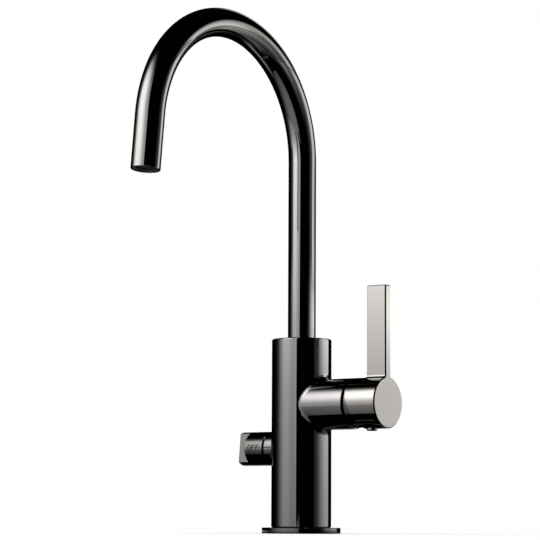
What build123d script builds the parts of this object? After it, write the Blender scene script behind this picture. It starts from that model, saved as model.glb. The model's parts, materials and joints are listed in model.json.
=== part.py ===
from build123d import *
from math import asin, cos, degrees, radians, sin, sqrt, tan
import os

# Kitchen mixer tap with a high arched spout, a side lever and a dishwasher valve.
# Millimetres. +Z is up, the spout points along -Y, the lever is on +X and the
# dishwasher valve on -X. The origin is on the body's axis, on the worktop.

# Spout tube
tube_radius = 11.0
tube_wall = 1.5
arch_radius = 94.5
arch_start_height = 293.5
arch_angle = 174.0
outlet_run = 41.5

# Body
body_radius = 23.5
body_top = 152.0
body_top_round = 1.2
body_foot_chamfer = 1.0
arm_root_round = 4.5
stub_root_round = 1.0

# Foot flange and its gasket
flange_radius = 30.75
flange_thickness = 4.5
flange_edge = 0.3
spigot_radius = 21.0
gasket_inner_radius = 23.5
gasket_outer_radius = 28.5
gasket_thickness = 1.5
flange_ring_height = 2.6
flange_ring_section = 0.6

# Sockets in the underside
stud_hole_radius = 3.4
stud_hole_depth = 16.0
inlet_radius = 4.5
inlet_depth = 12.0
inlet_x = 10.0
inlet_y = 9.0
drain_x = -13.0
waterway_radius = 3.5
socket_mouth = 0.5

# Fits
running_gap = 0.06
slip_gap = 0.05
film_gap = 0.02
swing_gap = 0.25

# Spout socket in the body
foot_radius = 14.0
foot_height = 22.0
foot_skirt = 4.0
socket_floor = 122.0
glide_ring_thickness = 2.0
upper_ring_recess = 0.4
socket_throat_radius = 6.0
foot_groove_depth = 1.6
foot_groove_width = 2.0
foot_ring_section = 0.78
foot_groove_inset = 4.5

# Spout stop screw
swing_angle = 60.0
stop_screw_radius = 2.5
stop_tip_radius = 1.8
stop_slot_depth = 1.7
stop_slot_play = 0.15
stop_screw_length = 6.0
stop_height_in_foot = 11.0

# Lever arm and cartridge, along +X
lever_height = 100.0
arm_radius = 19.75
arm_end = 51.2
arm_edge = 0.35
pivot_x = 52.0
tilt_angle = 25.0
cartridge_floor = 21.0
cartridge_radius = 17.5
nut_bore_radius = 18.2
cartridge_base_thickness = 5.0
port_radius = 3.2
port_drop = 6.0
outlet_port_rise = 8.0
port_seal_section = 0.8
disc_seal_radius = 13.6
disc_seal_section = 0.6
fixed_disc_radius = 15.3
ceramic_thickness = 4.0
moving_disc_radius = 11.5
carrier_radius = 12.0
carrier_thickness = 4.0
carrier_boss_radius = 6.0
housing_wall = 2.0
rotor_plate_thickness = 4.9
rotor_neck_radius = 11.4
rotor_length = 18.0
housing_cap_thickness = 3.0
housing_neck_radius = 13.0
housing_neck_length = 4.5
stem_arm = 10.0
ball_radius = 3.0
ball_play = 0.2
stem_waist_radius = 2.0
stem_block = 9.0
stem_block_length = 10.0
stem_square = 8.0
stem_end = 72.0
pin_radius = 1.75
rotor_slot_reach = 7.0
nut_flange_thickness = 4.2
nut_collar_radius = 15.4
nut_collar_length = 4.1
nut_notch_width = 4.0
nut_notch_depth = 1.5

# Ball-faced cover ring and the lever's hub over it
cover_neck_radius = 17.6
cover_ball_radius = 19.0
cover_wall = 1.1
cover_end = 62.0
hub_radius = 19.75
hub_start = 53.4
hub_end = 82.0
hub_cut_x = 56.3
hub_cut_angle = 16.7
hub_boss_radius = 8.6
hub_boss_start = 61.0
hub_edge = 0.9
blade_width = 17.6
blade_thickness = 7.2
blade_top = 190.6
blade_edge = 0.6
blade_root_round = 2.2
grub_x = 67.0
lever_grub_radius = 2.5
cap_radius = 4.2
cap_reach = 1.5
cap_edge = 0.7

# Dishwasher valve, along -X
valve_height = 66.5
stub_radius = 13.4
stub_end = 27.5
knob_gap = 1.0
knob_end = 56.1
knob_grip_start = 46.2
knob_grip_half = 7.2
knob_lean = 6.0
knob_edge = 0.5
knob_inner_edge = 0.9
knob_hollow_radius = 11.0
knob_hollow_depth = 5.5
valve_floor = 7.0
valve_seat_radius = 3.0
headwork_radius = 8.6
headwork_bore_radius = 7.0
headwork_chamber_end = 17.5
hex_across_flats = 19.0
hex_recess_radius = 11.5
hex_start = 22.9
hex_thickness = 3.6
headwork_neck_radius = 6.0
headwork_neck_end = 31.0
window_x = 15.6
window_radius = 1.8
valve_chamber_radius = 10.2
valve_chamber_start = 12.0
valve_chamber_end = 18.2
seat_seal_thickness = 0.5
seat_seal_bore = 4.2
valve_disc_thickness = 3.0
valve_disc_hole = 1.8
valve_disc_hole_offset = 3.4
spindle_radius = 4.0
spindle_end = 43.0
spindle_plate_thickness = 3.6
spindle_slot_width = 4.0
valve_groove_depth = 1.2
valve_ring_section = 0.58
headwork_groove_x = 20.5
spindle_groove_x = 24.5
circlip_thickness = 0.8
circlip_radius = 5.6
circlip_groove_depth = 0.8
knob_grub_radius = 2.0
knob_grub_x = 39.0
knob_grub_length = 5.0

# Aerator in the outlet
aerator_depth = 13.0
aerator_radius = 9.9
aerator_wall = 1.5
aerator_recess = 0.8
aerator_seal_thickness = 1.0
aerator_seal_width = 2.3
aerator_lip = 0.8
aerator_lip_height = 1.2
aerator_slot_width = 2.4
aerator_slot_depth = 0.8
screen_thickness = 0.7
screen_hole = 1.5
screen_pitch = 2.1
insert_hole = 0.8
insert_outer_circle = 5.7
insert_outer_holes = 12
insert_inner_circle = 2.9
insert_inner_holes = 6

# Sizes that follow from the ones above
tube_bore = tube_radius - tube_wall
socket_radius = foot_radius + running_gap
foot_bottom = socket_floor + glide_ring_thickness + film_gap
foot_top = foot_bottom + foot_height
tube_foot = foot_bottom + foot_skirt
stop_height = foot_bottom + stop_height_in_foot
cartridge_bore = cartridge_radius + slip_gap
base_top = cartridge_floor + cartridge_base_thickness
fixed_disc_top = base_top + ceramic_thickness
moving_disc_start = fixed_disc_top + film_gap
moving_disc_top = moving_disc_start + ceramic_thickness
carrier_top = moving_disc_top + carrier_thickness
rotor_start = carrier_top + slip_gap
rotor_shoulder = rotor_start + rotor_plate_thickness
rotor_end = rotor_start + rotor_length
housing_cap_start = rotor_shoulder + slip_gap
housing_shoulder = housing_cap_start + housing_cap_thickness
housing_inner = cartridge_radius - housing_wall
rotor_plate_radius = housing_inner - slip_gap
ball_x = pivot_x - stem_arm
disc_travel = stem_arm * sin(radians(tilt_angle))
disc_rest_shift = disc_travel / 2
carrier_boss_end = ball_x + ball_radius - ball_play * 2
nut_end = housing_shoulder + nut_flange_thickness
collar_end = nut_end + nut_collar_length
recess_radius = cover_ball_radius + swing_gap
blade_start = hub_end - blade_width
knob_start = stub_end + knob_gap
headwork_end = valve_floor + seat_seal_thickness
fixed_valve_disc_end = headwork_end + valve_disc_thickness
rotary_disc_start = fixed_valve_disc_end + film_gap
rotary_disc_end = rotary_disc_start + valve_disc_thickness
arch_centre_y = -arch_radius
overlap = 1.0


def rod_z(radius, low, high, x=0, y=0):
    """Round bar along Z from low to high."""
    bar = Cylinder(radius, high - low, align=(Align.CENTER, Align.CENTER, Align.MIN))
    return Pos(x, y, low) * bar


def rod_x(radius, start, end, y=0, z=0):
    """Round bar along X from start to end."""
    bar = Cylinder(radius, end - start, align=(Align.CENTER, Align.CENTER, Align.MIN))
    return Pos(start, y, z) * Rot(0, 90, 0) * bar


def rod_y(radius, start, end, x=0, z=0):
    """Round bar along Y from start to end."""
    bar = Cylinder(radius, end - start, align=(Align.CENTER, Align.CENTER, Align.MIN))
    return Pos(x, start, z) * Rot(-90, 0, 0) * bar


def block(x_low, x_high, y_low, y_high, z_low, z_high):
    """Rectangular block between two corners."""
    size = (x_high - x_low, y_high - y_low, z_high - z_low)
    return Pos(x_low, y_low, z_low) * Box(*size, align=(Align.MIN, Align.MIN, Align.MIN))


def o_ring_z(groove_radius, section, height):
    """O-ring about the Z axis, seated on a groove's floor."""
    return Pos(0, 0, height) * Torus(groove_radius + section + film_gap, section)


def o_ring_x(groove_radius, section, x, z):
    """O-ring about an axis along X, seated on a groove's floor."""
    return Pos(x, 0, z) * Rot(0, 90, 0) * Torus(groove_radius + section + film_gap, section)


def arch_point(angle):
    """Point of the spout's centre line on the arch, counted from the riser."""
    turn = radians(angle)
    y = arch_centre_y + arch_radius * cos(turn)
    return Vector(0, y, arch_start_height + arch_radius * sin(turn))


def outlet_direction():
    """Unit vector along which the water leaves."""
    turn = radians(arch_angle)
    return Vector(0, -sin(turn), cos(turn))


def outlet_place():
    """Frame at the centre of the outlet's end face, its z pointing out of the tube."""
    end = arch_point(arch_angle) + outlet_direction() * outlet_run
    return Plane(origin=end, x_dir=(1, 0, 0), z_dir=outlet_direction())


def spout_tube():
    """Bent tube with a counterbore for the aerator in its outlet."""
    riser = Line((0, 0, tube_foot), (0, 0, arch_start_height))
    arch = ThreePointArc(arch_point(0), arch_point(arch_angle / 2), arch_point(arch_angle))
    run = Line(arch_point(arch_angle), outlet_place().origin)
    path = Wire([riser, arch, run])
    section = Plane((0, 0, tube_foot)) * (Circle(tube_radius) - Circle(tube_bore))
    tube = sweep(section, path=path)
    counterbore = outlet_place().location * rod_z(aerator_radius, -aerator_depth, overlap)
    return tube - counterbore


def spout_foot():
    """Sleeve brazed on the tube, with two ring grooves and the stop screw's slot."""
    foot = rod_z(foot_radius, foot_bottom, foot_top)
    foot -= rod_z(tube_radius + film_gap, tube_foot, foot_top + overlap)
    foot -= rod_z(tube_bore, foot_bottom - overlap, tube_foot + overlap)
    groove_floor = foot_radius - foot_groove_depth
    for height in foot_ring_heights():
        low = height - foot_groove_width / 2
        high = height + foot_groove_width / 2
        foot -= rod_z(foot_radius + overlap, low, high) - rod_z(groove_floor, low, high)
    return foot - stop_slot()


def foot_ring_heights():
    """Heights of the two o-rings, the same distance from each end of the foot."""
    return (foot_bottom + foot_groove_inset, foot_top - foot_groove_inset)


def stop_slot():
    """Arc slot at the back of the foot, as long as the spout's swing."""
    half_height = stop_tip_radius + stop_slot_play
    tip_angle = degrees(asin(half_height / (foot_radius - stop_slot_depth)))
    half_angle = swing_angle + tip_angle
    profile = Plane.XZ * Pos(foot_radius, stop_height) * Rectangle(stop_slot_depth * 2, half_height * 2)
    sector = revolve(profile, axis=Axis.Z, revolution_arc=half_angle * 2)
    return Rot(0, 0, 90 - half_angle) * sector


def spout_o_rings():
    """The two rings that seal the foot in its socket."""
    groove_floor = foot_radius - foot_groove_depth
    return [o_ring_z(groove_floor, foot_ring_section, height) for height in foot_ring_heights()]


def lower_glide_ring():
    """Plastic washer that carries the foot."""
    ring = rod_z(foot_radius, socket_floor, socket_floor + glide_ring_thickness)
    return ring - rod_z(tube_bore, socket_floor - overlap, socket_floor + glide_ring_thickness + overlap)


def upper_glide_ring():
    """Plastic bush in the mouth of the socket, around the tube."""
    low = foot_top + slip_gap
    high = body_top - upper_ring_recess
    return rod_z(foot_radius, low, high) - rod_z(tube_radius + running_gap, low - overlap, high + overlap)


def spout_stop_screw():
    """Set screw at the back of the body, with a plain tip in the foot's slot."""
    tip_start = foot_radius - stop_slot_depth + stop_slot_play
    thread_start = socket_radius + stop_slot_play
    thread_end = thread_start + stop_screw_length
    screw = rod_y(stop_tip_radius, tip_start, thread_start + overlap, z=stop_height)
    screw += rod_y(stop_screw_radius - slip_gap, thread_start, thread_end, z=stop_height)
    return screw - hex_socket(stop_screw_radius, thread_end, stop_screw_length / 2)


def hex_socket(screw_radius, end, depth):
    """Hexagon recess in the outer end of the stop screw."""
    profile = RegularPolygon(screw_radius / 2, 6)
    cutter = extrude(profile, amount=depth + overlap)
    return Pos(0, end - depth, stop_height) * Rot(-90, 0, 0) * cutter


def saddle_edges(shape, side):
    """Edges where the arm, at side 1, or the stub, at side -1, meets the column."""
    plain = (GeomType.LINE, GeomType.CIRCLE)
    curved = shape.edges().filter_by(lambda edge: edge.geom_type not in plain)
    return [edge for edge in curved if edge.center().X * side > 0]


def body_outside():
    """Outer form of the body: column, lever arm and valve stub."""
    column = rod_z(body_radius, flange_thickness, body_top)
    rims = column.edges().filter_by(GeomType.CIRCLE).sort_by(Axis.Z)
    column = fillet(rims[-1], body_top_round)
    rims = column.edges().filter_by(GeomType.CIRCLE).sort_by(Axis.Z)
    column = chamfer(rims[0], body_foot_chamfer)
    arm = rod_x(arm_radius, 0, arm_end, z=lever_height)
    arm = chamfer(arm.edges().filter_by(GeomType.CIRCLE).sort_by(Axis.X)[-1], arm_edge)
    stub = rod_x(stub_radius, -stub_end, 0, z=valve_height)
    stub = chamfer(stub.edges().filter_by(GeomType.CIRCLE).sort_by(Axis.X)[0], arm_edge)
    outside = column + arm + stub
    outside = fillet(saddle_edges(outside, 1), arm_root_round)
    outside = fillet(saddle_edges(outside, -1), stub_root_round)
    return outside + rod_z(spigot_radius, 0, flange_thickness + overlap)


def waterways():
    """Channels from the sockets in the underside to the cartridge and the valve."""
    cuts = []
    for side in (-1, 1):
        y = side * inlet_y
        port_z = lever_height - port_drop
        cuts.append(rod_z(inlet_radius, -overlap, inlet_depth, inlet_x, y))
        cuts.append(Pos(inlet_x, y, 0) * mouth_cone())
        cuts.append(rod_z(waterway_radius, 0, port_z + overlap, inlet_x, y))
        cuts.append(rod_x(port_radius, inlet_x, cartridge_floor + overlap, y, port_z))
    outlet_z = lever_height + outlet_port_rise
    cuts.append(rod_x(port_radius, 0, cartridge_floor + overlap, 0, outlet_z))
    throat_floor = outlet_z - port_radius - overlap
    cuts.append(rod_z(socket_throat_radius, throat_floor, socket_floor + overlap))
    cuts.append(rod_z(inlet_radius, -overlap, inlet_depth, drain_x))
    cuts.append(Pos(drain_x, 0, 0) * mouth_cone())
    cuts.append(rod_z(waterway_radius, 0, valve_height - headwork_radius + overlap, drain_x))
    cuts.append(valve_feed())
    cuts.append(rod_z(stud_hole_radius, -overlap, stud_hole_depth))
    return cuts


def mouth_cone():
    """Small lead-in chamfer at a socket's mouth in the underside."""
    upright = (Align.CENTER, Align.CENTER, Align.MIN)
    return Cone(inlet_radius + socket_mouth, inlet_radius, socket_mouth, align=upright)


def valve_feed():
    """Slanting channel from the cold waterway to the dishwasher valve's seat."""
    start = Vector(-valve_floor - overlap / 2, 0, valve_height)
    end = Vector(inlet_x, -inlet_y, valve_height)
    place = Plane(origin=start, z_dir=end - start)
    return place.location * rod_z(valve_seat_radius, 0, (end - start).length)


def mixer_body():
    """Brass body with its sockets, channels and bores."""
    body = body_outside()
    cuts = waterways()
    cuts.append(rod_z(socket_radius, socket_floor, body_top + overlap))
    cuts.append(rod_x(cartridge_bore, cartridge_floor, arm_end + overlap, z=lever_height))
    cuts.append(rod_x(nut_bore_radius, housing_shoulder - slip_gap, arm_end + overlap, z=lever_height))
    cuts.append(rod_y(stop_screw_radius, 0, body_radius + overlap, z=stop_height))
    cuts.append(rod_x(headwork_radius, -stub_end - overlap, -valve_floor, z=valve_height))
    cuts.append(rod_x(hex_recess_radius, -stub_end - overlap, -hex_start, z=valve_height))
    cuts.append(rod_x(valve_chamber_radius, -valve_chamber_end, -valve_chamber_start, z=valve_height))
    groove_floor = spigot_radius - flange_ring_section * 2
    low = flange_ring_height - flange_ring_section - slip_gap
    high = flange_ring_height + flange_ring_section + slip_gap
    cuts.append(rod_z(spigot_radius + overlap, low, high) - rod_z(groove_floor, low, high))
    for cut in cuts:
        body -= cut
    return body


def base_flange():
    """Foot ring around the spigot, with the gasket's groove in its underside."""
    plate = rod_z(flange_radius, 0, flange_thickness)
    plate = chamfer(plate.edges().filter_by(GeomType.CIRCLE), flange_edge)
    plate -= rod_z(spigot_radius + slip_gap, -overlap, flange_thickness + overlap)
    return plate - gasket_ring(-overlap)


def gasket_ring(low):
    """Ring of the gasket's width, from low up to the top of its groove."""
    outer = rod_z(gasket_outer_radius, low, gasket_thickness)
    return outer - rod_z(gasket_inner_radius, low, gasket_thickness)


def base_gasket():
    """Rubber ring that seals the flange on the worktop."""
    return gasket_ring(0)


def flange_o_ring():
    """Ring that keeps the flange centred on the body's spigot."""
    groove_floor = spigot_radius - flange_ring_section * 2
    return o_ring_z(groove_floor - film_gap, flange_ring_section, flange_ring_height)


def port_places():
    """Places of the cartridge's ports: hot, cold and mixed."""
    low = lever_height - port_drop
    return ((inlet_y, low), (-inlet_y, low), (0, lever_height + outlet_port_rise))


def cartridge_base():
    """Bottom of the cartridge, with three ports and their seal grooves."""
    base = rod_x(cartridge_radius, cartridge_floor, base_top, z=lever_height)
    groove_depth = port_seal_section * 2
    for y, z in port_places():
        base -= rod_x(port_radius, cartridge_floor - overlap, base_top + overlap, y, z)
        base -= rod_x(port_radius + port_seal_section * 2, cartridge_floor - overlap,
                      cartridge_floor + groove_depth, y, z)
    groove = rod_x(disc_seal_radius + disc_seal_section, base_top - disc_seal_section * 2,
                   base_top + overlap, z=lever_height)
    groove -= rod_x(disc_seal_radius - disc_seal_section, base_top - disc_seal_section * 2,
                    base_top + overlap, z=lever_height)
    return base - groove


def port_seals():
    """Three rings between the cartridge's ports and the body."""
    centre_x = cartridge_floor + port_seal_section
    ring = Rot(0, 90, 0) * Torus(port_radius + port_seal_section, port_seal_section)
    return [Pos(centre_x, y, z) * ring for y, z in port_places()]


def disc_seal():
    """Ring between the cartridge base and the fixed disc."""
    ring = Rot(0, 90, 0) * Torus(disc_seal_radius, disc_seal_section)
    return Pos(base_top - disc_seal_section, 0, lever_height) * ring


def fixed_disc():
    """Ceramic disc that stands still, with the three ports."""
    disc = rod_x(fixed_disc_radius, base_top, fixed_disc_top, z=lever_height)
    for y, z in port_places():
        disc -= rod_x(port_radius, base_top - overlap, fixed_disc_top + overlap, y, z)
    return disc


def moving_disc():
    """Ceramic disc that slides and turns, with a mixing pocket in its face."""
    centre_z = lever_height - disc_rest_shift
    disc = rod_x(moving_disc_radius, moving_disc_start, moving_disc_top, z=centre_z)
    pocket_depth = ceramic_thickness / 2
    pocket = rod_x(moving_disc_radius / 2, moving_disc_start - overlap,
                   moving_disc_start + pocket_depth, z=centre_z + moving_disc_radius / 3)
    return disc - pocket


def disc_carrier():
    """Plastic driver on the moving disc, with the socket for the stem's ball."""
    carrier = rod_x(carrier_radius, moving_disc_top, carrier_top, z=lever_height - disc_rest_shift)
    carrier += rod_x(carrier_boss_radius, carrier_top - overlap, carrier_boss_end, z=lever_height)
    socket_start = ball_x - ball_radius - ball_play
    return carrier - rod_x(ball_radius + ball_play, socket_start, carrier_boss_end + overlap, z=lever_height)


def cartridge_housing():
    """Plastic shell of the cartridge, with the neck that guides the rotor."""
    shell = rod_x(cartridge_radius, base_top, housing_shoulder, z=lever_height)
    shell += rod_x(housing_neck_radius, housing_shoulder - overlap,
                   housing_shoulder + housing_neck_length, z=lever_height)
    shell -= rod_x(housing_inner, base_top - overlap, housing_cap_start, z=lever_height)
    bore_end = housing_shoulder + housing_neck_length + overlap
    return shell - rod_x(rotor_neck_radius + running_gap, base_top, bore_end, z=lever_height)


def cartridge_rotor():
    """Rotor that turns with the lever and holds the stem's pivot."""
    rotor = rod_x(rotor_plate_radius, rotor_start, rotor_shoulder, z=lever_height)
    rotor += rod_x(rotor_neck_radius, rotor_shoulder - overlap, rotor_end, z=lever_height)
    boss_half = carrier_boss_radius + slip_gap
    slot_end = carrier_boss_end + slip_gap
    for rise in (0, disc_travel):
        rotor -= rod_x(boss_half, rotor_start - overlap, slot_end, z=lever_height + rise)
    rotor -= block(rotor_start - overlap, slot_end, -boss_half, boss_half,
                   lever_height, lever_height + disc_travel)
    stem_half = stem_block / 2 + slip_gap
    rotor -= block(rotor_start, rotor_end + overlap, -stem_half, stem_half,
                   lever_height - rotor_slot_reach, lever_height + rotor_slot_reach)
    return rotor - rod_y(pin_radius, -rotor_neck_radius, rotor_neck_radius, pivot_x, lever_height)


def pivot_pin():
    """Steel pin on which the stem tilts."""
    half = sqrt(rotor_neck_radius ** 2 - pin_radius ** 2)
    return rod_y(pin_radius, -half, half, pivot_x, lever_height)


def lever_stem():
    """Stem with a ball at its inner end and a square for the handle."""
    stem = Pos(ball_x, 0, lever_height) * Sphere(ball_radius)
    block_start = pivot_x - stem_block_length / 2
    block_end = pivot_x + stem_block_length / 2
    stem += rod_x(stem_waist_radius, ball_x, block_start + overlap, z=lever_height)
    half = stem_block / 2
    stem += block(block_start, block_end, -half, half, lever_height - half, lever_height + half)
    half = stem_square / 2
    stem += block(block_end - overlap, stem_end, -half, half, lever_height - half, lever_height + half)
    return stem - rod_y(pin_radius + running_gap, -stem_block, stem_block, pivot_x, lever_height)


def cartridge_nut():
    """Brass nut that clamps the cartridge, with notches for its key."""
    nut = rod_x(nut_bore_radius - slip_gap, housing_shoulder, nut_end, z=lever_height)
    nut += rod_x(nut_collar_radius, nut_end - overlap, collar_end, z=lever_height)
    bore = housing_neck_radius + slip_gap
    nut -= rod_x(bore, housing_shoulder - overlap, collar_end + overlap, z=lever_height)
    reach = nut_collar_radius + overlap
    notch_start = collar_end - nut_notch_depth
    notch_size = (nut_notch_depth + overlap, nut_notch_width, reach * 2)
    notch = Box(*notch_size, align=(Align.MIN, Align.CENTER, Align.CENTER))
    for turn in (0, 90):
        nut -= Pos(notch_start, 0, lever_height) * Rot(turn, 0, 0) * notch
    return nut


def band(start, end, inner, outer):
    """Flat rectangle from start to end along X, between two radii."""
    size = (end - start, outer - inner)
    return Pos(start, inner) * Rectangle(*size, align=(Align.MIN, Align.MIN))


def turned_x(profile, z):
    """Solid turned about an axis along X at height z."""
    return Pos(0, 0, z) * revolve(profile, axis=Axis.X)


def lever_cover_ring():
    """Ring screwed on the nut; its ball face is centred on the lever's pivot."""
    bore = nut_collar_radius + slip_gap
    ball = Pos(pivot_x, 0) * Circle(cover_ball_radius)
    inside = Pos(pivot_x, 0) * Circle(cover_ball_radius - cover_wall)
    shell = (ball - inside) & band(collar_end, cover_end, 0, cover_ball_radius)
    root = ball & band(hub_start, collar_end, bore, cover_ball_radius)
    neck = band(nut_end + slip_gap, hub_start, bore, cover_neck_radius)
    return turned_x(shell + root + neck, lever_height)


def blade_root_section():
    """Outline of the hub and the blade's root, seen along the lever's axis."""
    root_height = sqrt(hub_radius ** 2 - (blade_thickness / 2) ** 2)
    height = root_height + blade_root_round * 2
    root = Pos(0, height / 2) * Rectangle(blade_thickness, height)
    outline = Circle(hub_radius) + root
    corners = outline.vertices().filter_by(lambda corner: abs(corner.Y - root_height) < film_gap)
    return fillet(corners, blade_root_round), height


def blade():
    """Upright flat bar, its inner side and its top slightly bevelled."""
    low = lever_height + blade_root_section()[1]
    half = blade_thickness / 2
    bar = block(blade_start, hub_end, -half, half, low, blade_top)
    bevels = bar.edges().filter_by(lambda edge: edge.center().Z > blade_top - film_gap)
    bevels = bevels.filter_by(lambda edge: edge.center().X < hub_end - film_gap)
    bevels += bar.edges().filter_by(Axis.Z).sort_by(Axis.X)[:2]
    return chamfer(bevels, blade_edge)


def lever_handle():
    """Hub and blade in one casting, hollowed to swing over the cover ring."""
    place = Plane(origin=(blade_start, 0, lever_height), x_dir=(0, 1, 0), z_dir=(1, 0, 0))
    head = extrude(place * blade_root_section()[0], amount=blade_width) + blade()
    head = chamfer(head.faces().sort_by(Axis.X)[-1].outer_wire().edges(), hub_edge)
    handle = head + rod_x(hub_radius, hub_start, blade_start, z=lever_height)
    handle -= hub_slant()
    handle -= hub_hollow()
    boss_face = lever_height - hub_boss_radius - overlap
    handle -= rod_z(lever_grub_radius, boss_face, lever_height, grub_x)
    return handle - rod_z(cap_radius, lever_height - hub_radius - overlap, boss_face, grub_x)


def hub_slant():
    """Wedge cut from the hub's inner end, which leaves room for the tilt."""
    reach = hub_end
    wedge = Box(reach, reach, reach, align=(Align.MAX, Align.CENTER, Align.CENTER))
    return Pos(hub_cut_x, 0, lever_height) * Rot(0, -hub_cut_angle, 0) * wedge


def hub_hollow():
    """Ball-shaped hollow around the boss, and the boss's square socket."""
    ball = Pos(pivot_x, 0) * Circle(recess_radius)
    profile = ball & band(pivot_x - recess_radius, pivot_x + recess_radius, 0, recess_radius)
    profile -= band(hub_boss_start, hub_end, 0, hub_boss_radius)
    half = stem_square / 2 + slip_gap
    socket = block(hub_boss_start - overlap, stem_end + slip_gap, -half, half,
                   lever_height - half, lever_height + half)
    return turned_x(profile, lever_height) + socket


def lever_grub_screw():
    """Set screw that clamps the handle on the stem's square."""
    low = lever_height - hub_boss_radius
    high = lever_height - stem_square / 2
    screw = rod_z(lever_grub_radius - slip_gap, low, high, grub_x)
    recess = extrude(RegularPolygon(lever_grub_radius / 2, 6), amount=lever_grub_radius)
    return screw - Pos(grub_x, 0, low) * recess


def lever_screw_cap():
    """Plug in the hub's underside, over the set screw."""
    inner_edge_x = grub_x - cap_radius - pivot_x
    high = lever_height - sqrt(recess_radius ** 2 - inner_edge_x ** 2)
    low = lever_height - hub_radius - cap_reach
    plug = rod_z(cap_radius - slip_gap, low, high, grub_x)
    return chamfer(plug.edges().filter_by(GeomType.CIRCLE).sort_by(Axis.Z)[0], cap_edge)


def valve_headwork():
    """Brass insert of the dishwasher valve, screwed into the stub."""
    outer = headwork_radius - slip_gap
    part = rod_x(outer, -hex_start, -headwork_end, z=valve_height)
    hexagon = RegularPolygon(hex_across_flats / 2, 6, major_radius=False)
    head = extrude(hexagon, amount=hex_thickness)
    part += Pos(-hex_start, 0, valve_height) * Rot(0, -90, 0) * head
    part += rod_x(headwork_neck_radius, -headwork_neck_end, -hex_start, z=valve_height)
    part -= rod_x(headwork_bore_radius, -headwork_chamber_end, -headwork_end + overlap, z=valve_height)
    part -= rod_x(spindle_radius + running_gap, -headwork_neck_end - overlap, -headwork_end, z=valve_height)
    window_low = valve_height - valve_chamber_radius
    window_high = valve_height + valve_chamber_radius
    part -= rod_z(window_radius, window_low, window_high, -window_x)
    low = -headwork_groove_x - valve_ring_section - slip_gap
    high = -headwork_groove_x + valve_ring_section + slip_gap
    groove = rod_x(outer + overlap, low, high, z=valve_height)
    return part - (groove - rod_x(outer - valve_groove_depth, low, high, z=valve_height))


def valve_headwork_o_ring():
    """Ring between the headwork and its bore in the body."""
    groove_floor = headwork_radius - slip_gap - valve_groove_depth
    return o_ring_x(groove_floor, valve_ring_section, -headwork_groove_x, valve_height)


def valve_seat_seal():
    """Flat rubber ring under the headwork."""
    seal = rod_x(headwork_radius - slip_gap, -headwork_end, -valve_floor, z=valve_height)
    return seal - rod_x(seat_seal_bore, -headwork_end - overlap, -valve_floor + overlap, z=valve_height)


def valve_fixed_disc():
    """Ceramic disc of the valve that stands still, holes above and below."""
    radius = headwork_bore_radius - slip_gap
    disc = rod_x(radius, -fixed_valve_disc_end, -headwork_end, z=valve_height)
    hole = rod_x(valve_disc_hole, -fixed_valve_disc_end - overlap, -headwork_end + overlap, z=valve_height)
    for side in (-1, 1):
        disc -= Pos(0, 0, side * valve_disc_hole_offset) * hole
    return disc


def valve_rotary_disc():
    """Ceramic disc of the valve that turns, holes to the sides when shut."""
    radius = headwork_bore_radius - slip_gap * 2
    disc = rod_x(radius, -rotary_disc_end, -rotary_disc_start, z=valve_height)
    hole = rod_x(valve_disc_hole, -rotary_disc_end - overlap, -rotary_disc_start + overlap, z=valve_height)
    for side in (-1, 1):
        disc -= Pos(0, side * valve_disc_hole_offset, 0) * hole
    return disc


def valve_spindle():
    """Spindle that turns the rotary disc, slotted for the water."""
    plate_end = rotary_disc_end + spindle_plate_thickness
    plate_radius = headwork_bore_radius - slip_gap * 2
    spindle = rod_x(plate_radius, -plate_end, -rotary_disc_end, z=valve_height)
    spindle += rod_x(spindle_radius, -spindle_end, -plate_end + overlap, z=valve_height)
    slot_size = (spindle_plate_thickness, headwork_bore_radius * 2, spindle_slot_width)
    slot = Box(*slot_size, align=(Align.MIN, Align.CENTER, Align.CENTER))
    spindle -= Pos(-plate_end + overlap, 0, valve_height) * slot
    low = -spindle_groove_x - valve_ring_section - slip_gap
    high = -spindle_groove_x + valve_ring_section + slip_gap
    groove = rod_x(spindle_radius + overlap, low, high, z=valve_height)
    spindle -= groove - rod_x(spindle_radius - valve_groove_depth, low, high, z=valve_height)
    low = -headwork_neck_end - slip_gap * 3 - circlip_thickness
    high = -headwork_neck_end - slip_gap
    groove = rod_x(spindle_radius + overlap, low, high, z=valve_height)
    return spindle - (groove - rod_x(spindle_radius - circlip_groove_depth, low, high, z=valve_height))


def valve_spindle_o_ring():
    """Ring between the spindle and the headwork."""
    return o_ring_x(spindle_radius - valve_groove_depth, valve_ring_section, -spindle_groove_x, valve_height)


def valve_circlip():
    """Open clip that keeps the spindle in the headwork."""
    high = -headwork_neck_end - slip_gap * 2
    low = high - circlip_thickness
    inner = spindle_radius - circlip_groove_depth + film_gap
    clip = rod_x(circlip_radius, low, high, z=valve_height)
    clip -= rod_x(inner, low - overlap, high + overlap, z=valve_height)
    gap = Box(circlip_thickness * 2, inner, circlip_radius, align=(Align.CENTER, Align.CENTER, Align.MIN))
    return clip - Pos((low + high) / 2, 0, valve_height) * gap


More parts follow.
